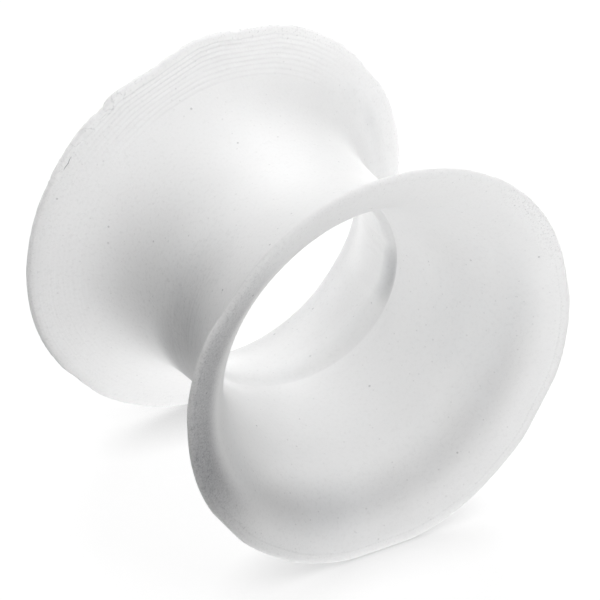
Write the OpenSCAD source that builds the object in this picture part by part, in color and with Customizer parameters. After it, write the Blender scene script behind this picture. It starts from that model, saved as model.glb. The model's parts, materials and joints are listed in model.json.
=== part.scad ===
/* [Overall] */
// Diameter across each flared lip
lip_dia = 16; // [15:0.5:20]
// Length from lip to lip
tunnel_length = 12; // [11:0.5:16]

/* [Waist] */
// Outside diameter of the waist, where the ear lobe sits
waist_dia = 10; // [9.6:0.1:11]
// Diameter of the open bore at the throat
throat_dia = 8.5; // [8:0.1:9]
// Length of the straight land in the throat
throat_land = 0.5; // [0.4:0.1:1]

/* [Wall] */
// Thickness of the wall at the lips, which are rounded over
lip_wall = 0.3; // [0.2:0.05:0.5]

/* [Front flare] */
// Angle from the bore's axis at which the front flare leaves the throat
front_throat_angle = 9; // [0:1:15]
// Angle from the bore's axis at which the front flare reaches its lip
front_lip_angle = 79; // [60:1:85]
// How far the front flare keeps the throat's direction, as a share of its chord
front_throat_pull = 0.48; // [0.3:0.02:0.6]
// How far the front flare keeps the lip's direction, as a share of its chord
front_lip_pull = 0.25; // [0.15:0.01:0.4]

/* [Back flare] */
// Angle from the bore's axis at which the back flare leaves the throat
back_throat_angle = 3; // [0:1:15]
// Angle from the bore's axis at which the back flare reaches its lip
back_lip_angle = 78; // [60:1:85]
// How far the back flare keeps the throat's direction, as a share of its chord
back_throat_pull = 0.66; // [0.3:0.02:0.7]
// How far the back flare keeps the lip's direction, as a share of its chord
back_lip_pull = 0.37; // [0.15:0.01:0.4]

/* [Lip edges] */
// Depth of the straight trim in each lip's edge that the tunnel lies on
rest_trim = 0.06; // [0.05:0.01:0.15]

/* [Hidden] */

// Steps along each flare, round each lip from its inner face to its outer one, and round the bore
flare_steps = 16;
lip_steps = 4;
turn_steps = 96;
milky_silicone = [0.92, 0.93, 0.94];

// The soft lips are trimmed and not quite round. Each trim is [place round the lip, depth],
// with the place in degrees from the right, so that 90 is the top and 270 the bottom
front_trims = [[270, rest_trim], [215, 0.06], [330, 0.09]];
back_trims = [[270, rest_trim], [85, 0.12], [110, 0.2], [128, 0.08], [222, 0.07]];
// How far along the bore and round the lip a trim may reach
trim_reach = 1;
trim_span = 5;

waist_wall = (waist_dia - throat_dia) / 2;
lip_round = lip_wall / 2;
// The wall's section is drawn as [distance from the axis, height along it] from the throat's middle
lip_centre = [lip_dia / 2 - lip_round, tunnel_length / 2 - lip_round];
throat_edge = [throat_dia / 2, throat_land / 2];

// Direction in the section that leans away from the axis by an angle
function heading(angle) = [sin(angle), cos(angle)];

// Control points of a flare's inner face, a cubic curve from the throat to the lip
function flare_controls(throat_angle, lip_angle, throat_pull, lip_pull) =
    let (
        lip_edge = lip_centre + lip_round * heading(lip_angle - 90),
        chord = norm(lip_edge - throat_edge)
    )
    [
        throat_edge,
        throat_edge + throat_pull * chord * heading(throat_angle),
        lip_edge - lip_pull * chord * heading(lip_angle),
        lip_edge
    ];

// Point on that curve, from u = 0 at the throat to u = 1 at the lip
function inner_point(c, u) =
    pow(1 - u, 3) * c[0] + 3 * pow(1 - u, 2) * u * c[1] + 3 * (1 - u) * u * u * c[2] + pow(u, 3) * c[3];

// Direction of that curve
function inner_heading(c, u) =
    let (slope = pow(1 - u, 2) * (c[1] - c[0]) + 2 * (1 - u) * u * (c[2] - c[1]) + u * u * (c[3] - c[2]))
    slope / norm(slope);

// The wall thins evenly from the waist to the lip
function wall_at(u) = waist_wall + (lip_wall - waist_wall) * u;

// Point on the outer face, square across the wall
function outer_point(c, u) =
    let (along = inner_heading(c, u))
    inner_point(c, u) + wall_at(u) * [along[1], -along[0]];

// Outline of one flare: inner face out to the lip, round the lip, outer face back to the waist
function flare_outline(c, lip_angle) = concat(
    [for (i = [0 : flare_steps]) inner_point(c, i / flare_steps)],
    [for (i = [1 : lip_steps - 1]) lip_centre + lip_round * heading(lip_angle - 90 + 180 * i / lip_steps)],
    [for (i = [flare_steps : -1 : 0]) outer_point(c, i / flare_steps)]
);

// The same outline on the other side of the throat, drawn the other way round
function mirrored(outline) = [for (i = [len(outline) - 1 : -1 : 0]) [outline[i][0], -outline[i][1]]];

module wall_section() {
    front = flare_controls(front_throat_angle, front_lip_angle, front_throat_pull, front_lip_pull);
    back = flare_controls(back_throat_angle, back_lip_angle, back_throat_pull, back_lip_pull);
    polygon(concat(
        flare_outline(front, front_lip_angle),
        mirrored(flare_outline(back, back_lip_angle))
    ));
}

// Block that cuts a lip's edge straight, at the front end (-1) or the back end (1)
module lip_trim(trim, end) {
    rotate([0, -trim[0], 0])
        translate([lip_dia / 2, end * tunnel_length / 2, 0])
            cube([2 * trim[1], 2 * trim_reach, trim_span], center = true);
}

// The tunnel lies on its two trimmed lips, with its bore along Y and its front flare towards -Y
module silicone_tunnel() {
    color(milky_silicone)
        translate([0, 0, lip_dia / 2 - rest_trim])
            difference() {
                rotate([90, 0, 0])
                    rotate_extrude($fn = turn_steps)
                        wall_section();
                for (trim = front_trims) lip_trim(trim, -1);
                for (trim = back_trims) lip_trim(trim, 1);
            }
}

silicone_tunnel();
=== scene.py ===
"""A double-flared ear tunnel in milky silicone, lying on its two lips on a pale floor."""

import json
from math import cos, pi, radians, sin

import bpy
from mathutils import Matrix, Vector


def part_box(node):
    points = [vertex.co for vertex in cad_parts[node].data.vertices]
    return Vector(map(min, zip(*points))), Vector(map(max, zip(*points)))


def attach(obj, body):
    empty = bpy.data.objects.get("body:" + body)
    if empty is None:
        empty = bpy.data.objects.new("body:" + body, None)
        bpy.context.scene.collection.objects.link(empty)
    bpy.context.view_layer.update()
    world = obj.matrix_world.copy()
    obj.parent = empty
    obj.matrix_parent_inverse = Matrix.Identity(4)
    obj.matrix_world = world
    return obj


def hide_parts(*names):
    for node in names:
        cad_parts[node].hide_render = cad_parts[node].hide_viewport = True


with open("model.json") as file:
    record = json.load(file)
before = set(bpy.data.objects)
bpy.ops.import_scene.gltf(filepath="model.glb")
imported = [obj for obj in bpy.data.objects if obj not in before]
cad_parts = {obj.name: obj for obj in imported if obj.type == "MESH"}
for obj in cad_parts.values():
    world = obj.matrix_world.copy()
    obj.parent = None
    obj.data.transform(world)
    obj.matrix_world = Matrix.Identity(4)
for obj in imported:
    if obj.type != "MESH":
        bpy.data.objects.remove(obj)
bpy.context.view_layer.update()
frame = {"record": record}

MM = 0.001

# Sizes of the tunnel that the frame holds
tunnel_low, tunnel_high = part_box("silicone_tunnel")
throat = next(mount for mount in frame["record"]["mounts"] if mount["name"] == "throat_bore")
axis_height = throat["pos_m"][2]
throat_radius = throat["dims"]["r_mm"] * MM
throat_land = throat["dims"]["length_mm"] * MM
lip_radius = (tunnel_high.x - tunnel_low.x) / 2
half_length = (tunnel_high.y - tunnel_low.y) / 2

# Thickness of the wall, which thins evenly from the waist to the rounded lips
waist_wall = 0.75 * MM
lip_wall = 0.3 * MM

# Each flare: the way along the bore, its angles from the bore's axis at the throat and at the lip,
# and how far it keeps those directions, as shares of its chord
FLARES = {
    "front": dict(end=-1, throat_angle=9, lip_angle=79, throat_pull=0.48, lip_pull=0.25),
    "back": dict(end=1, throat_angle=3, lip_angle=78, throat_pull=0.66, lip_pull=0.37),
}

# Where the two cores of the mould met inside the bore, as a share of the way to the back lip
crease_reach = 0.032


def places(*stretches):
    """Places along a flare from the throat at 0 to the lip at 1, in stretches of (end, steps)."""
    found = [0.0]
    for end, steps in stretches:
        start = found[-1]
        found += [start + (end - start) * (i + 1) / steps for i in range(steps)]
    return found


# Rows along the faces of the wall, closest at the crease and at the turned rings, and steps round it
INNER_PLACES = {"front": places((1, 34)), "back": places((crease_reach, 8), (0.13, 22), (1, 30))}
OUTER_PLACES = {"front": places((1, 28)), "back": places((0.7, 14), (1, 58))}
lip_steps = 10
turn_steps = 440

# Radius of the small circle that the section is swept round
core_radius = 1 * MM

# Places round the wall are in degrees from the right, so that 90 is the top. A pair of such numbers
# is a place and how far a mark reaches to either side of it. Places between a flare's throat and its
# lip are shares from 0 to 1

# Straight trims in the lips, as (place, depth in mm), how far round each may act in degrees, and how
# softly it runs into the round lip
FRONT_TRIMS = ((270, 0.06), (215, 0.07), (330, 0.09), (10, 0.05), (140, 0.06))
BACK_TRIMS = ((270, 0.06), (80, 0.12), (110, 0.24), (128, 0.08), (222, 0.08), (35, 0.05))
trim_span = 60
trim_softness = 0.04 * MM

# Gentle swellings of the lips, as (place, height in mm, reach)
FRONT_SWELLS = ((45, 0.05, 28), (157, 0.1, 24), (252, 0.05, 16), (290, 0.05, 18))
BACK_SWELLS = ((160, 0.03, 25), (192, 0.05, 22))

# Torn flash round the lips, as (place, strength, reach), and its strength everywhere else
FRONT_FLASH = ((50, 0.35, 20), (345, 0.3, 20))
BACK_FLASH = ((128, 1.0, 36), (82, 0.7, 22))
front_flash_elsewhere = 0.12
back_flash_elsewhere = 0.2

# The flash has small chips, gathered in patches, and the lips sway slowly. These are counted along
# the radius of a lip. Chips show where a patch's random value rises between two values
chips = 15
patches = 5
sways = 2.6
PATCHES_SHOW = (0.2, 0.75)

# Stretches of a flare over which the torn flash, the sway, the facets, the turned rings and the
# unevenness come in or fade
FLASH_STRETCH = (0.95, 1)
SWAY_STRETCH = (0.7, 1)
FACET_STRETCH = (0.9, 1)
RINGS_STRETCH = (1, 0.97)
UNEVEN_STRETCH = (0, 0.25)

# Patterns that run round the lips are read on two unit circles that stand this far apart
circles_apart = 7

# Hollows inside the bore, as (place, reach, place along the bore, reach along it, depth), with all
# three lengths in mm
HOLLOWS = ((5, 42, 4.0, 2.4, 0.17), (95, 40, -2.6, 1.8, 0.1))

# The crease is askew: it stands furthest back at crease_lean, and the wall moves along the bore with
# it, from lean_before in front of it to lean_behind past it
crease_lean = 169
lean_before = 2.6 * MM
lean_behind = 2.8 * MM

# The bore opens a little at the crease: where this begins before it and ends behind it
opening = 0.05 * MM
OPENS = (-2.4 * MM, -0.2 * MM)
CLOSES = (2.8 * MM, 0.6 * MM)

# The ledge behind the crease is a soft shoulder. At its right it is steeper and ragged, and chipped.
# It rises over soft_rise, or over as much as steep_gain less where it is steep. Most painted shade lies
# below
LEDGE_STEEP = (12, 55)
LEDGE_CHIP = (-10, 20)
LEDGE_BELOW = (-45, 100)
LEDGE_ENDS = (3.4 * MM, 1.2 * MM)
soft_rise = 0.75 * MM
steep_gain = 0.5 * MM
ledge_rags = 9

# How much deeper these make the ledge, and how much painted shade they give the crease, both as shares
LEDGE_GROWTH = dict(steep=0.5, chip=0.6, ragged=0.5)
LEDGE_SHADE = dict(below=0.55, chip=0.6, steep=0.3)

# Where that painted shade begins and ends, as shares of the ledge's rise
SHADE_BEGINS = (-0.12, 0.06)
SHADE_ENDS = (1.7, 0.3)

# The turned rings are strong at the top of the back flare and faint elsewhere. They wander, and they
# show in patches. Both are counted along a lip's radius, and the patches have a width across the rings
RINGS_TOP = (93, 50)
rings_elsewhere = 0.06
ring_wander = 0.05 * MM
ring_wanders = 2.2
ring_patches = 3
ring_patch_width = 0.25 * MM
RING_PATCHES_SHOW = (-0.9, 0.3)

# Facets of torn flash beside the back lip, and the long soft unevenness of the wall
FACETS = (130, 40)
facet_width = 0.42 * MM
uneven_width = 2.6 * MM


def heading(angle):
    """Direction in the section, as (away from the axis, along it), that leans out by an angle."""
    return Vector((sin(radians(angle)), cos(radians(angle))))


class Flare:
    """Section of one flare: a cubic curve for the inner face, with the wall's thickness outside it."""

    def __init__(self, end, throat_angle, lip_angle, throat_pull, lip_pull):
        self.end = end
        self.lip_angle = lip_angle
        self.lip_centre = Vector((lip_radius - lip_wall / 2, half_length - lip_wall / 2))
        start = Vector((throat_radius, throat_land / 2))
        edge = self.lip_centre + lip_wall / 2 * heading(lip_angle - 90)
        chord = (edge - start).length
        self.controls = (
            start,
            start + throat_pull * chord * heading(throat_angle),
            edge - lip_pull * chord * heading(lip_angle),
            edge,
        )

    def inner(self, u):
        """Point on the inner face, from the throat at 0 to the lip at 1."""
        a, b, c, d = self.controls
        v = 1 - u
        return v**3 * a + 3 * v * v * u * b + 3 * v * u * u * c + u**3 * d

    def along(self, u):
        """Direction of the inner face."""
        a, b, c, d = self.controls
        v = 1 - u
        return (v * v * (b - a) + 2 * v * u * (c - b) + u * u * (d - c)).normalized()

    def outer(self, u):
        """Point on the outer face, square across the wall."""
        along = self.along(u)
        wall = waist_wall + (lip_wall - waist_wall) * u
        return self.inner(u) + wall * Vector((along.y, -along.x))

    def lip(self, t):
        """Point on the rounded lip, from its inner edge at 0 to its outer edge at 1."""
        return self.lip_centre + lip_wall / 2 * heading(self.lip_angle - 90 + 180 * t)

    def lean(self, u):
        """How fast the inner face leaves the axis, for each step towards the back."""
        along = self.along(u)
        return self.end * along.x / along.y

    def rows(self, inner_places, outer_places):
        """Rows of (away, along, reach, outside, lean), from the throat round the lip to the waist."""
        rows = [(self.inner(u), u, 0, self.lean(u)) for u in inner_places]
        rows += [(self.lip(i / lip_steps), 1, i / lip_steps, 0) for i in range(1, lip_steps)]
        rows += [(self.outer(u), u, 1, 0) for u in reversed(outer_places)]
        return [(p.x, self.end * p.y, reach, outside, lean) for p, reach, outside, lean in rows]


def wall_section():
    """The wall's section as a closed loop of edges, with its attributes, in the XY plane."""
    front = Flare(**FLARES["front"]).rows(INNER_PLACES["front"], OUTER_PLACES["front"])
    back = Flare(**FLARES["back"]).rows(INNER_PLACES["back"], OUTER_PLACES["back"])
    rows = front + back[::-1]
    mesh = bpy.data.meshes.new("wall_section")
    count = len(rows)
    points = [(away - core_radius, along, 0) for away, along, *marks in rows]
    mesh.from_pydata(points, [(i, (i + 1) % count) for i in range(count)], [])
    for column, name in ((2, "reach"), (3, "outside"), (4, "lean")):
        values = [row[column] for row in rows]
        mesh.attributes.new(name, "FLOAT", "POINT").data.foreach_set("value", values)
    return mesh


class Field:
    """A value in a node tree that can be worked with as a number."""

    def __init__(self, tree, socket):
        self.tree = tree
        self.socket = socket

    def math(self, operation, *others):
        """The result of one of Blender's math operations on this value and others."""
        node = self.tree.nodes.new("ShaderNodeMath")
        node.operation = operation
        for slot, value in zip(node.inputs, (self,) + others):
            feed(self.tree, slot, value)
        return Field(self.tree, node.outputs[0])

    def __add__(self, other):
        return self.math("ADD", other)

    def __sub__(self, other):
        return self.math("SUBTRACT", other)

    def __mul__(self, other):
        return self.math("MULTIPLY", other)

    def __truediv__(self, other):
        return self.math("DIVIDE", other)

    def __rsub__(self, other):
        return self * -1 + other

    __radd__ = __add__
    __rmul__ = __mul__

    def step(self, low, high):
        """0 below low, 1 above high and smooth between them. It falls where low is above high."""
        node = self.tree.nodes.new("ShaderNodeMapRange")
        node.interpolation_type = "SMOOTHSTEP"
        rising = low < high
        node.inputs["From Min"].default_value = low if rising else high
        node.inputs["From Max"].default_value = high if rising else low
        node.inputs["To Min"].default_value = 0 if rising else 1
        node.inputs["To Max"].default_value = 1 if rising else 0
        feed(self.tree, node.inputs["Value"], self)
        return Field(self.tree, node.outputs["Result"])

    def bump(self, middle, reach):
        """1 in the middle, falling smoothly to 0 at a reach on either side of it."""
        return (self - middle).math("ABSOLUTE").step(reach, 0)

    def bump_round(self, place, reach):
        """The same for an angle, with the place and the reach in degrees."""
        return (self - radians(place)).math("COSINE").step(cos(radians(reach)), 1)


def feed(tree, slot, value):
    """Links a field to a node's input, or sets a number there."""
    if isinstance(value, Field):
        tree.links.new(value.socket, slot)
    else:
        slot.default_value = value


def total(fields):
    """The sum of some fields."""
    result = None
    for field in fields:
        result = field if result is None else result + field
    return result


def weighed(fields, weights):
    """The sum of named fields, each by its own weight."""
    return total(fields[name] * weight for name, weight in weights.items())


def vector(tree, x, y, z):
    """A vector of three values."""
    node = tree.nodes.new("ShaderNodeCombineXYZ")
    for slot, value in zip(node.inputs, (x, y, z)):
        feed(tree, slot, value)
    return Field(tree, node.outputs[0])


def parts(tree, field):
    """The three values of a vector or a colour."""
    node = tree.nodes.new("ShaderNodeSeparateXYZ")
    feed(tree, node.inputs[0], field)
    return [Field(tree, socket) for socket in node.outputs]


def noise(tree, place, scale, detail=2.0, roughness=0.5):
    """Smooth noise from about -1 to 1 at a place."""
    node = tree.nodes.new("ShaderNodeTexNoise")
    feed(tree, node.inputs["Vector"], place)
    node.inputs["Scale"].default_value = scale
    node.inputs["Detail"].default_value = detail
    node.inputs["Roughness"].default_value = roughness
    return (Field(tree, node.outputs[0]) - 0.5) * 2


def cells(tree, place, scale):
    """Small cells: the distance from the middle of each, and a random value from 0 to 1 for each."""
    node = tree.nodes.new("ShaderNodeTexVoronoi")
    feed(tree, node.inputs["Vector"], place)
    node.inputs["Scale"].default_value = scale
    chance = parts(tree, Field(tree, node.outputs["Color"]))[0]
    return Field(tree, node.outputs["Distance"]), chance


class Tree:
    """A Geometry Nodes tree with named inputs."""

    def __init__(self, name):
        self.group = bpy.data.node_groups.new(name, "GeometryNodeTree")
        self.nodes = self.group.nodes
        self.links = self.group.links
        self.group.interface.new_socket("Geometry", in_out="INPUT", socket_type="NodeSocketGeometry")
        self.group.interface.new_socket("Geometry", in_out="OUTPUT", socket_type="NodeSocketGeometry")
        self.source = self.nodes.new("NodeGroupInput")
        self.identifiers = {}

    def number(self, name, kind="NodeSocketFloat"):
        """A named input of the tree."""
        socket = self.group.interface.new_socket(name, in_out="INPUT", socket_type=kind)
        self.identifiers[name] = socket.identifier
        return Field(self.group, self.source.outputs[name])

    def node(self, kind, **settings):
        """A new node with its settings."""
        node = self.nodes.new(kind)
        for name, value in settings.items():
            setattr(node, name, value)
        return node

    def attribute(self, name):
        """The value of a named attribute."""
        node = self.node("GeometryNodeInputNamedAttribute", data_type="FLOAT")
        node.inputs["Name"].default_value = name
        return Field(self.group, node.outputs["Attribute"])

    def store(self, geometry, name, value):
        """Keeps a value on each point of the geometry, as a named attribute."""
        node = self.node("GeometryNodeStoreNamedAttribute", data_type="FLOAT", domain="POINT")
        node.inputs["Name"].default_value = name
        self.links.new(geometry, node.inputs["Geometry"])
        feed(self.group, node.inputs["Value"], value)
        return node.outputs["Geometry"]

    def place(self, geometry, position=None, offset=None):
        """Moves each point to a position, or by an offset."""
        node = self.node("GeometryNodeSetPosition")
        self.links.new(geometry, node.inputs["Geometry"])
        for name, value in (("Position", position), ("Offset", offset)):
            if value is not None:
                feed(self.group, node.inputs[name], value)
        return node.outputs["Geometry"]

    def lift(self, geometry, height):
        """Moves the surface outwards by a height."""
        normal = self.node("GeometryNodeInputNormal")
        scaled = self.node("ShaderNodeVectorMath", operation="SCALE")
        self.links.new(normal.outputs[0], scaled.inputs[0])
        feed(self.group, scaled.inputs["Scale"], height)
        return self.place(geometry, offset=Field(self.group, scaled.outputs[0]))

    def end(self, geometry, material):
        """Ends the tree with smooth faces, real geometry and a material."""
        smooth = self.node("GeometryNodeSetShadeSmooth")
        realize = self.node("GeometryNodeRealizeInstances")
        paint = self.node("GeometryNodeSetMaterial")
        paint.inputs["Material"].default_value = material
        self.links.new(geometry, smooth.inputs["Geometry"])
        self.links.new(smooth.outputs[0], realize.inputs[0])
        self.links.new(realize.outputs[0], paint.inputs["Geometry"])
        self.links.new(paint.outputs[0], self.node("NodeGroupOutput").inputs[0])


class Wall:
    """The section swept round the bore, with a field for each way of saying where a point is."""

    def __init__(self, tree, turns):
        self.tree = tree
        group = tree.group
        section = tree.node("GeometryNodeMeshToCurve")
        tree.links.new(tree.source.outputs["Geometry"], section.inputs["Mesh"])
        core = tree.node("GeometryNodeCurvePrimitiveCircle")
        feed(group, core.inputs["Resolution"], turns)
        core.inputs["Radius"].default_value = core_radius
        turn = tree.node("GeometryNodeSplineParameter")
        circle = tree.store(core.outputs["Curve"], "turn", Field(group, turn.outputs["Factor"]))
        sweep = tree.node("GeometryNodeCurveToMesh")
        tree.links.new(circle, sweep.inputs["Curve"])
        tree.links.new(section.outputs["Curve"], sweep.inputs["Profile Curve"])
        x, y, z = parts(group, Field(group, tree.node("GeometryNodeInputPosition").outputs[0]))
        mesh = tree.store(sweep.outputs["Mesh"], "away", (x * x + y * y).math("SQRT"))
        self.mesh = tree.store(mesh, "along", z * -1)

        self.angle = tree.attribute("turn") * (2 * pi)
        self.right = self.angle.math("COSINE")
        self.up = self.angle.math("SINE")
        self.reach = tree.attribute("reach")
        self.outside = tree.attribute("outside")
        self.inside = 1 - self.outside
        self.lean = tree.attribute("lean")
        self.away = tree.attribute("away")
        self.along = tree.attribute("along")
        self.back = self.along.math("GREATER_THAN", 0)
        self.front = 1 - self.back
        self.around = vector(group, self.right, self.up, self.back * circles_apart)

    def either(self, front, back):
        """One value on the front flare and another on the back flare."""
        return front * self.front + back * self.back


def lip_edge(wall, lip, trims, swells):
    """Radius of a lip that straight trims bring in and gentle swellings take out."""
    radius = lip
    for place, height, reach in swells:
        radius = radius + wall.angle.bump_round(place, reach) * (height * MM)
    for place, depth in trims:
        facing = (wall.angle - radians(place)).math("COSINE").math("MAXIMUM", cos(radians(trim_span)))
        radius = radius.math("SMOOTH_MIN", (lip - depth * MM) / facing, trim_softness)
    return radius


def flash_strength(wall, rows, elsewhere):
    """How ragged a lip is at each place round it."""
    torn = (wall.angle.bump_round(place, reach) * strength for place, strength, reach in rows)
    return total(torn) + elsewhere


def lip_change(wall, lip, flash, sway):
    """How far the lips' edges stand away from a true circle."""
    group = wall.tree.group
    front_edge = lip_edge(wall, lip, FRONT_TRIMS, FRONT_SWELLS)
    back_edge = lip_edge(wall, lip, BACK_TRIMS, BACK_SWELLS)
    edge = wall.either(front_edge, back_edge)
    front_flash = flash_strength(wall, FRONT_FLASH, front_flash_elsewhere)
    back_flash = flash_strength(wall, BACK_FLASH, back_flash_elsewhere)
    strength = wall.either(front_flash, back_flash)
    patch = cells(group, wall.around, patches)[1].step(*PATCHES_SHOW)
    chip = cells(group, wall.around, chips)[1] * patch
    torn = chip * flash * strength * wall.reach.step(*FLASH_STRETCH)
    swaying = noise(group, wall.around, sways, detail=1) * sway
    return (edge - lip + swaying) * wall.reach.step(*SWAY_STRETCH) - torn


def throat_change(wall, crease, shift, ledge):
    """The crease where the two cores met a little askew, with a ledge behind it, and painted shade behind
    its edge.
    """
    behind = wall.along - crease
    leaning = behind.step(-lean_before, 0) * behind.step(lean_behind, 0) * wall.inside
    askew = (wall.angle - radians(crease_lean)).math("COSINE") * shift * leaning

    steep = wall.angle.bump_round(*LEDGE_STEEP)
    sides = {
        "steep": steep,
        "chip": wall.angle.bump_round(*LEDGE_CHIP),
        "below": wall.angle.bump_round(*LEDGE_BELOW),
        "ragged": noise(wall.tree.group, wall.around, ledge_rags, detail=3, roughness=0.7) * steep,
    }
    rise = behind / (soft_rise - steep * steep_gain)
    shoulder = rise.step(0, 1) * behind.step(*LEDGE_ENDS)
    depth = ledge * (weighed(sides, LEDGE_GROWTH) + 1)
    opened = behind.step(*OPENS) * behind.step(*CLOSES) * opening
    change = (opened - shoulder * depth) * wall.inside
    # Painted shade: a soft dark band just behind the crease's edge, strongest below
    crease_shade = rise.step(*SHADE_BEGINS) * rise.step(*SHADE_ENDS) * weighed(sides, LEDGE_SHADE)

    for place, reach, middle, length, hollow in HOLLOWS:
        where = wall.angle.bump_round(place, reach) * wall.along.bump(middle * MM, length * MM)
        change = change + where * wall.inside * (hollow * MM)
    return askew, change + wall.lean * askew, crease_shade * wall.inside


def turned_rings(wall, lip, pitch, depth, reach):
    """Fine rings that the mould's turning left outside the back flare, and painted shade in the grooves
    between them.
    """
    group = wall.tree.group
    distance = lip - wall.away
    wandering = distance + noise(group, wall.around, ring_wanders, detail=1) * ring_wander
    wave = (wandering / pitch * (2 * pi)).math("SINE")
    fading = (1 - distance / reach).math("MAXIMUM", 0)
    strong = wall.angle.bump_round(*RINGS_TOP) + rings_elsewhere
    across = distance / ring_patch_width
    patchy = noise(group, vector(group, wall.right * ring_patches, wall.up * ring_patches, across), 1)
    where = fading * strong * wall.outside * wall.back * wall.reach.step(*RINGS_STRETCH)
    where = where * patchy.step(*RING_PATCHES_SHOW)
    # The second value is painted shade, darkest in the grooves between the rings
    return wave * where * depth, (0.5 - wave * 0.5).math("POWER", 3) * where


def facets(wall, place):
    """Small facets of torn flash beside the back lip's upper left."""
    chance = cells(wall.tree.group, place, 1 / facet_width)[1]
    where = wall.angle.bump_round(*FACETS) * wall.reach.step(*FACET_STRETCH) * wall.back
    return (chance - 0.5) * where


def turned_wall(material):
    """The tree that turns the section round the bore and gives the wall its moulding marks."""
    tree = Tree("turned_wall")
    turns = tree.number("Turn Steps", "NodeSocketInt")
    height = tree.number("Axis Height")
    lip = tree.number("Lip Radius")
    crease = tree.number("Crease Place")
    crease_shift = tree.number("Crease Shift")
    ledge = tree.number("Ledge Depth")
    flash = tree.number("Flash Depth")
    facet = tree.number("Facet Depth")
    sway = tree.number("Sway")
    ring_pitch = tree.number("Ring Pitch")
    ring_depth = tree.number("Ring Depth")
    ring_reach = tree.number("Ring Reach")
    unevenness = tree.number("Unevenness")

    wall = Wall(tree, turns)
    askew, throat_out, crease_shade = throat_change(wall, crease, crease_shift, ledge)
    away = wall.away + lip_change(wall, lip, flash, sway) + throat_out
    position = vector(tree.group, away * wall.right, wall.along + askew, away * wall.up + height)
    # Keeps the painted shade behind the crease on the wall, for the material to darken
    mesh = tree.store(wall.mesh, "crease", crease_shade)
    mesh = tree.place(mesh, position=position)

    place = Field(tree.group, tree.node("GeometryNodeInputPosition").outputs[0])
    past_throat = wall.reach.step(*UNEVEN_STRETCH)
    uneven = noise(tree.group, place, 1 / uneven_width, detail=1) * unevenness * past_throat
    rings, groove_shade = turned_rings(wall, lip, ring_pitch, ring_depth, ring_reach)
    # Keeps the painted shade in the ring grooves, for the material to darken
    mesh = tree.store(mesh, "painted_groove_shade", groove_shade)
    mesh = tree.lift(mesh, uneven + rings + facets(wall, place) * facet)
    tree.end(mesh, material)
    return tree


# Colours of the silicone: two milky whites that it clouds between, a warmer one that is mixed in up
# to warm_share, and the grey of wear, dirt and painted shade, which is mixed in up to most_grey
MILK = ((0.95, 0.956, 0.96), (0.97, 0.973, 0.973))
WARM_MILK = (0.965, 0.95, 0.935)
GREY = (0.15, 0.152, 0.165)
warm_share = 0.35
most_grey = 0.9

# Widths of the patterns on the surface, and how many streaks and turning marks lie along a radian
cloud_width = 1.6 * MM
warm_width = 4.5 * MM
matt_width = 0.7 * MM
fine_width = 0.07 * MM
mottle_width = 0.14 * MM
wander_width = 0.4 * MM
grain_width = 0.09 * MM
turning_width = 0.1 * MM
streak_width = 1.5 * MM
streaks_round = 9
turns_round = 1.5

# Specks and dust lie one to a cell, as (outer radius, inner radius) in cells, and only the cells
# whose random value rises between two values have one
speck_spacing = 0.75 * MM
dust_spacing = 0.24 * MM
SPECK_SIZE = (0.085, 0.03)
DUST_SIZE = (0.2, 0.06)
SPECKS_SHOW = (0.45, 0.95)
DUST_SHOWS = (0.5, 0.95)

# The edges of torn shells follow the middle of a slow noise, and the fine noise breaks them up
SHELL_EDGE = (0.07, 0.01)
SHELLS_SHOW = (-0.5, 0.3)

# Places on the inner and outer face, and on the two flares, are this far apart in the turning marks
faces_apart = 5
flares_apart = 9

# Heights of the fine relief, where the line beside the lips runs, and how far the nick wanders
grain_height = 0.0013 * MM
turning_height = 0.003 * MM
line_depth = 0.005 * MM
LIP_LINE = (0.972, 0.011)
nick_wander = 0.012

# Roughness of the satin finish, and how much duller its clouds are
satin = 0.44
duller = 0.14
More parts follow.
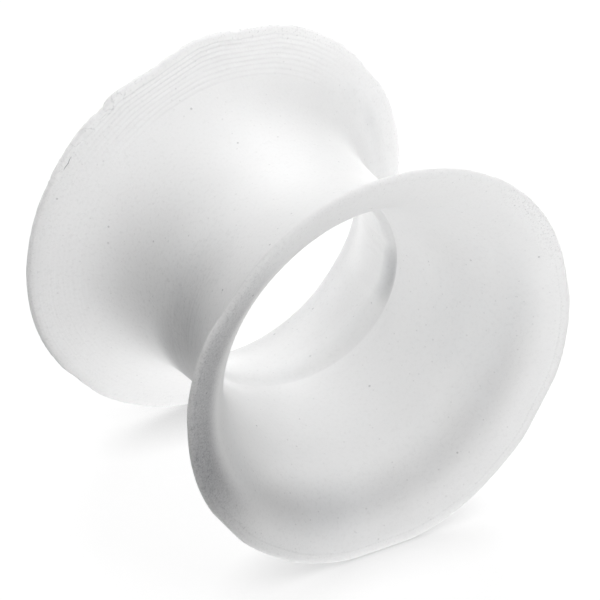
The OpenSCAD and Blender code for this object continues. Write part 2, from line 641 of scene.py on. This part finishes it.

# Grey marks of wear and dirt, and of painted shade, each as dark as its shade, where 1 is the darkest
# grey. A mark lies on
# the faces, flares or patterns that "on" names, and only where each of these that it gives says:
#   place: round the wall, as (place, how far it reaches)
#   reach: towards the lip, coming in between these two shares of the way from the throat
#   line, wandering_line: a line round the flare, as (share of that way, half width)
#   ring: a band, as (distance from the bore's axis, half width), in mm
#   oval: as (place, how far it reaches, place along the bore, how far it reaches along it), with
#     the last two in mm
#   shows: where a pattern rises between two values, as (pattern, low, high)
# Its shade may vary with a pattern, as (pattern, amount)
MARKS = (
    # Specks and finer dust everywhere, a fine mottle that is stronger on the outside at the left, painted
    # shade in the crease and in the turned rings' grooves, and a broken grey near the lips' edges
    dict(shade=0.38, on=["speck"]),
    dict(shade=0.16, on=["dust"]),
    dict(shade=0.06, on=["mottle"]),
    dict(shade=0.05, on=["mottle", "outside"], place=(165, 60)),
    dict(shade=0.24, on=["crease"]),
    dict(shade=0.3, on=["painted_groove_shade"]),
    dict(shade=0.12, on=[], reach=(0.8, 1), shows=("fine", 0.05, 0.6)),
    # The front lip: painted shade in a band inside at the left and a paler one below it, a rough patch at
    # the upper right and a line beside the edge
    dict(shade=0.6, on=["front", "inside"], place=(172, 58), reach=(0.7, 0.88), varies=("fine", 0.26)),
    dict(shade=0.18, on=["front", "inside"], place=(222, 50), reach=(0.3, 0.85)),
    dict(shade=0.3, on=["front"], place=(32, 20), reach=(0.86, 0.96), shows=("fine", 0, 0.5)),
    dict(
        shade=0.14, on=["front", "inside"], place=(-60, 140), line=(0.955, 0.012),
        shows=("fine", -0.6, 0.4),
    ),
    # The front flare: painted shade in a soft band in its bend, and a paler band nearer the throat
    dict(shade=0.31, on=["front", "inside"], place=(-70, 125), ring=(6.25, 1.1), varies=("cloudy", 0.07)),
    dict(shade=0.1, on=["front", "inside"], place=(0, 50), ring=(5.1, 0.9)),
    # The back lip: the dark edges of torn shells of flash, a nick, and specks along the top
    dict(shade=0.24, on=["back", "shell_edges"], place=(131, 24), reach=(0.945, 0.98)),
    dict(shade=0.8, on=["back"], place=(144.5, 2.6), wandering_line=(0.985, 0.0045)),
    dict(shade=0.4, on=["back"], place=(72, 30), reach=(0.95, 1), shows=("fine", 0.1, 0.5)),
    # The back flare: painted shade in a soft streak outside at the right, and a duller inner face
    dict(shade=0.16, on=["back", "outside"], place=(16, 32), ring=(6.9, 0.8), varies=("streaks", 0.08)),
    dict(shade=0.3, on=["back", "inside"], reach=(0.15, 0.5), varies=("cloudy", 0.1)),
    # The waist: painted shade in two soft spots at the left, where the groove between the flares lies
    dict(shade=0.26, on=["outside"], oval=(184, 74, -0.5, 3), varies=("turning", 0.07)),
    dict(shade=0.32, on=["outside"], oval=(212, 42, 0.8, 1.8)),
)


def blend(tree, factor, low, high):
    """A colour between two greys or colours."""
    node = tree.nodes.new("ShaderNodeMix")
    node.data_type = "RGBA"
    feed(tree, node.inputs["Factor"], factor)
    for name, colour in (("A", low), ("B", high)):
        slot = next(s for s in node.inputs if s.name == name and s.type == "RGBA")
        feed(tree, slot, colour if isinstance(colour, Field) else (*colour, 1))
    return Field(tree, next(s for s in node.outputs if s.type == "RGBA"))


def wall_fields(tree, place):
    """Where a point is on the wall, from its place and from the attributes that the tree stored."""
    fields = {}
    for name in ("reach", "outside", "away", "along", "painted_groove_shade", "crease"):
        node = tree.nodes.new("ShaderNodeAttribute")
        node.attribute_name = name
        fields[name] = Field(tree, node.outputs["Fac"])
    x, y, z = parts(tree, place)
    fields["angle"] = (z - axis_height).math("ARCTAN2", x)
    fields["inside"] = 1 - fields["outside"]
    fields["back"] = fields["along"].step(-0.1 * MM, 0.1 * MM)
    fields["front"] = 1 - fields["back"]
    return fields


def patterns(tree, place, fields):
    """The patterns that the grey marks follow."""
    angle = fields["angle"]
    middle, chance = cells(tree, place, 1 / speck_spacing)
    dust_middle, dust_chance = cells(tree, place, 1 / dust_spacing)
    fine = noise(tree, place, 1 / fine_width, detail=3, roughness=0.75)
    wander = noise(tree, place, 1 / wander_width, detail=1)
    mottle = noise(tree, place, 1 / mottle_width, detail=2, roughness=0.75)
    streaked = vector(tree, angle * streaks_round, fields["away"] / streak_width, 0)
    turned = vector(tree, fields["along"] / turning_width, angle * turns_round, 0)
    return {
        "speck": middle.step(*SPECK_SIZE) * chance.step(*SPECKS_SHOW),
        "dust": dust_middle.step(*DUST_SIZE) * dust_chance.step(*DUST_SHOWS),
        "fine": fine,
        "wander": wander,
        "shell_edges": wander.math("ABSOLUTE").step(*SHELL_EDGE) * fine.step(*SHELLS_SHOW),
        "cloudy": noise(tree, place, 1 / cloud_width, detail=2, roughness=0.6),
        "mottle": mottle.step(-0.1, 0.6),
        "streaks": noise(tree, streaked, 1, detail=1),
        "turning": noise(tree, turned, 1, detail=1).step(-0.3, 0.5),
    }


def oval(fields, place, reach, middle, length):
    """1 in the middle of an oval on the wall, falling smoothly to 0 at its edge."""
    turned = (fields["angle"] - radians(place)).math("COSINE").math("ARCCOSINE") / radians(reach)
    moved = (fields["along"] - middle * MM) / (length * MM)
    return (turned * turned + moved * moved).math("SQRT").step(1, 0)


def grey_mark(fields, mark):
    """The grey that one mark gives to each place on the wall."""
    where = [fields[name] for name in mark["on"]]
    if "place" in mark:
        where.append(fields["angle"].bump_round(*mark["place"]))
    if "reach" in mark:
        where.append(fields["reach"].step(*mark["reach"]))
    if "line" in mark:
        where.append(fields["reach"].bump(*mark["line"]))
    if "wandering_line" in mark:
        wandering = fields["reach"] + fields["wander"] * nick_wander
        where.append(wandering.bump(*mark["wandering_line"]))
    if "ring" in mark:
        distance, half_width = mark["ring"]
        where.append(fields["away"].bump(distance * MM, half_width * MM))
    if "oval" in mark:
        where.append(oval(fields, *mark["oval"]))
    if "shows" in mark:
        pattern, low, high = mark["shows"]
        where.append(fields[pattern].step(low, high))
    grey = mark["shade"]
    if "varies" in mark:
        pattern, amount = mark["varies"]
        grey = fields[pattern] * amount + grey
    for field in where:
        grey = field * grey
    return grey


def milky_silicone():
    """Soft silicone: light goes into it and comes out as an even milky glow."""
    material = bpy.data.materials.new("moulded_silicone")
    material.use_nodes = True
    tree = material.node_tree
    shader = tree.nodes["Principled BSDF"]
    shader.subsurface_method = "RANDOM_WALK"
    shader.inputs["Subsurface Weight"].default_value = 1.0
    shader.inputs["Subsurface Radius"].default_value = (1.0, 1.0, 1.0)
    shader.inputs["Subsurface Scale"].default_value = 1.4 * MM
    shader.inputs["IOR"].default_value = 1.41

    place = Field(tree, tree.nodes.new("ShaderNodeTexCoord").outputs["Object"])
    fields = wall_fields(tree, place)
    fields.update(patterns(tree, place, fields))

    # Cloudy colour, a little warmer in places, under the grey marks
    milk = blend(tree, fields["cloudy"].step(-0.5, 0.5), *MILK)
    warmth = noise(tree, place, 1 / warm_width, detail=1).step(-0.4, 0.4)
    milk = blend(tree, warmth * warm_share, milk, WARM_MILK)
    grey = total(grey_mark(fields, mark) for mark in MARKS)
    colour = blend(tree, grey.math("MAXIMUM", 0).math("MINIMUM", most_grey), milk, GREY)
    tree.links.new(colour.socket, shader.inputs["Base Color"])

    # Satin finish with slightly duller clouds
    matt = noise(tree, place, 1 / matt_width, detail=2, roughness=0.7).step(-0.6, 0.6)
    tree.links.new((matt * duller + satin).socket, shader.inputs["Roughness"])

    # Fine relief: a grain all over, turning marks round the waist and a line beside the lips
    grain = noise(tree, place, 1 / grain_width, detail=1) * grain_height
    face = fields["outside"] * faces_apart
    swirl = vector(tree, fields["away"] / turning_width, face, fields["back"] * flares_apart)
    turning = noise(tree, swirl, 1, detail=1) * fields["outside"] * turning_height
    line = fields["reach"].bump(*LIP_LINE) * fields["inside"] * -line_depth
    relief = tree.nodes.new("ShaderNodeBump")
    relief.inputs["Distance"].default_value = 1.0
    relief.inputs["Strength"].default_value = 1.0
    feed(tree, relief.inputs["Height"], total((grain, turning, line)))
    tree.links.new(relief.outputs["Normal"], shader.inputs["Normal"])
    return material


def make_wall():
    """The tunnel's wall as a plain mesh, from the section and its tree."""
    tree = turned_wall(milky_silicone())
    source = bpy.data.objects.new("wall_section", wall_section())
    bpy.context.scene.collection.objects.link(source)
    modifier = source.modifiers.new("turned_wall", "NODES")
    modifier.node_group = tree.group
    sizes = {
        "Turn Steps": turn_steps,
        "Axis Height": axis_height,
        "Lip Radius": lip_radius,
        "Crease Place": Flare(**FLARES["back"]).inner(crease_reach).y,
        "Crease Shift": 0.64 * MM,
        "Ledge Depth": 0.18 * MM,
        "Flash Depth": 0.075 * MM,
        "Facet Depth": 0.04 * MM,
        "Sway": 0.03 * MM,
        "Ring Pitch": 0.17 * MM,
        "Ring Depth": 0.017 * MM,
        "Ring Reach": 2.4 * MM,
        "Unevenness": 0.02 * MM,
    }
    for name, value in sizes.items():
        modifier[tree.identifiers[name]] = value
    evaluated = source.evaluated_get(bpy.context.evaluated_depsgraph_get())
    wall = bpy.data.objects.new("tunnel_wall", bpy.data.meshes.new_from_object(evaluated))
    bpy.context.scene.collection.objects.link(wall)
    bpy.data.objects.remove(source)
    return wall


wall = make_wall()
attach(wall, "root")
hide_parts("silicone_tunnel")

# The floor glows like a light table: under the tunnel, all round but less at the left, and most at
# the back right, near the tunnel and further off
GLOWS = {"near": 1.0, "round": 0.87, "side": 1.25, "far_side": 1.66, "far_front": 1.25}
NEAR_ENDS = (13 * MM, 9 * MM)
FAR_BEGINS = (22 * MM, 45 * MM)

# The way that some of them face, in degrees from +X, and the cosines that each fades in between
FACING = {"round": (20, -0.6, 0), "side": (60, 0.45, 1), "far_front": (250, 0.5, 1)}
floor_half = 1.5

# To look at, the floor is a grey that the lights fall on, with a glow of its own. The glow is least
# close under the tunnel, where little of the sky is open, which paints a soft contact shadow there
floor_grey = 0.22
floor_glow = 0.36
open_sky_glow = 0.5
sky_reach = 2.5 * MM


def glow_parts(tree):
    """The stretches of floor that glow, each as a field that is 1 in its middle."""
    x, y, z = parts(tree, Field(tree, tree.nodes.new("ShaderNodeTexCoord").outputs["Object"]))
    distance = (x * x + y * y).math("SQRT").math("MAXIMUM", 0.1 * MM)

    def facing(azimuth, low, high):
        return ((x * cos(radians(azimuth)) + y * sin(radians(azimuth))) / distance).step(low, high)

    near = distance.step(*NEAR_ENDS)
    far = distance.step(*FAR_BEGINS)
    side = facing(*FACING["side"])
    return {
        "near": near,
        "round": (1 - near) * facing(*FACING["round"]),
        "side": side * (1 - near) * (1 - far),
        "far_side": side * far,
        "far_front": far * facing(*FACING["far_front"]),
    }


def pale_floor():
    """A plain pale floor that also lights the tunnel from below."""
    mesh = bpy.data.meshes.new("floor")
    corners = [(-1, -1), (1, -1), (1, 1), (-1, 1)]
    mesh.from_pydata([(x * floor_half, y * floor_half, 0) for x, y in corners], [], [(0, 1, 2, 3)])
    floor = bpy.data.objects.new("floor", mesh)
    bpy.context.scene.collection.objects.link(floor)
    material = bpy.data.materials.new("pale_floor")
    material.use_nodes = True
    tree = material.node_tree
    tree.nodes.clear()
    seen = tree.nodes.new("ShaderNodeBsdfPrincipled")
    seen.inputs["Base Color"].default_value = (floor_grey, floor_grey, floor_grey, 1)
    seen.inputs["Roughness"].default_value = 0.9
    seen.inputs["Specular IOR Level"].default_value = 0
    seen.inputs["Emission Color"].default_value = (1, 1, 1, 1)
    # Painted contact shadow: the floor's own glow dims where the tunnel is near
    open_sky = tree.nodes.new("ShaderNodeAmbientOcclusion")
    open_sky.samples = 4
    open_sky.inputs["Distance"].default_value = sky_reach
    glowing = Field(tree, open_sky.outputs["AO"]) * open_sky_glow + floor_glow
    feed(tree, seen.inputs["Emission Strength"], glowing)
    glow = tree.nodes.new("ShaderNodeEmission")
    feed(tree, glow.inputs["Strength"], weighed(glow_parts(tree), GLOWS))
    either = tree.nodes.new("ShaderNodeMixShader")
    tree.links.new(tree.nodes.new("ShaderNodeLightPath").outputs["Is Camera Ray"], either.inputs[0])
    tree.links.new(glow.outputs[0], either.inputs[1])
    tree.links.new(seen.outputs[0], either.inputs[2])
    tree.links.new(either.outputs[0], tree.nodes.new("ShaderNodeOutputMaterial").inputs["Surface"])
    mesh.materials.append(material)
    return floor


pale_floor()

# Soft round lights: (name, azimuth, elevation, distance, width, light on the object), with azimuth 0
# towards +X and 90 towards +Y
LIGHTS = (
    ("top_light", 320, 82, 0.35, 0.4, 1.8),
    ("back_light", 60, 45, 0.35, 0.25, 1.7),
    ("front_fill", 225, 19, 0.35, 0.22, 0.58),
    ("left_fill", 150, 20, 0.35, 0.22, 0.25),
    ("front_light", 300, 45, 0.35, 0.22, 0.25),
)
centre = Vector((0, 0, axis_height))


def direction(azimuth, elevation):
    """Direction from the tunnel's middle, with both angles in degrees."""
    a, e = radians(azimuth), radians(elevation)
    return Vector((cos(a) * cos(e), sin(a) * cos(e), sin(e)))


for name, azimuth, elevation, distance, width, light in LIGHTS:
    lamp = bpy.data.lights.new(name, "AREA")
    lamp.shape = "DISK"
    lamp.size = width
    lamp.energy = light * pi * distance**2
    towards = direction(azimuth, elevation)
    stand = bpy.data.objects.new(name, lamp)
    stand.location = centre + distance * towards
    stand.rotation_euler = towards.to_track_quat("Z", "Y").to_euler()
    bpy.context.scene.collection.objects.link(stand)

# The room is white to look at and gives no light
world = bpy.data.worlds.new("studio")
world.use_nodes = True
room = world.node_tree.nodes["Background"]
room.inputs["Color"].default_value = (1, 1, 1, 1)
seen = world.node_tree.nodes.new("ShaderNodeLightPath")
feed(world.node_tree, room.inputs["Strength"], Field(world.node_tree, seen.outputs["Is Camera Ray"]))
bpy.context.scene.world = world
bpy.context.scene.view_settings.view_transform = "Standard"

# The camera looks past the tunnel's middle from the front left, above the floor. Its azimuth is from
# the bore's axis, and it stands a little aside of the middle and below it
camera_azimuth = -31.08
camera_elevation = 33.27
camera_distance = 208 * MM
aside = 0.095 * MM
below = 0.31 * MM
focal_length = 342.4
sensor_width = 36

backwards = direction(camera_azimuth - 90, camera_elevation)
rightwards = direction(camera_azimuth, 0)
upwards = backwards.cross(rightwards)
lens = bpy.data.cameras.new("camera")
lens.lens = focal_length
lens.sensor_width = sensor_width
lens.clip_start = 0.01
lens.clip_end = 10
camera = bpy.data.objects.new("camera", lens)
camera.location = centre + camera_distance * backwards + aside * rightwards - below * upwards
camera.rotation_euler = backwards.to_track_quat("Z", "Y").to_euler()
bpy.context.scene.collection.objects.link(camera)
bpy.context.scene.camera = camera
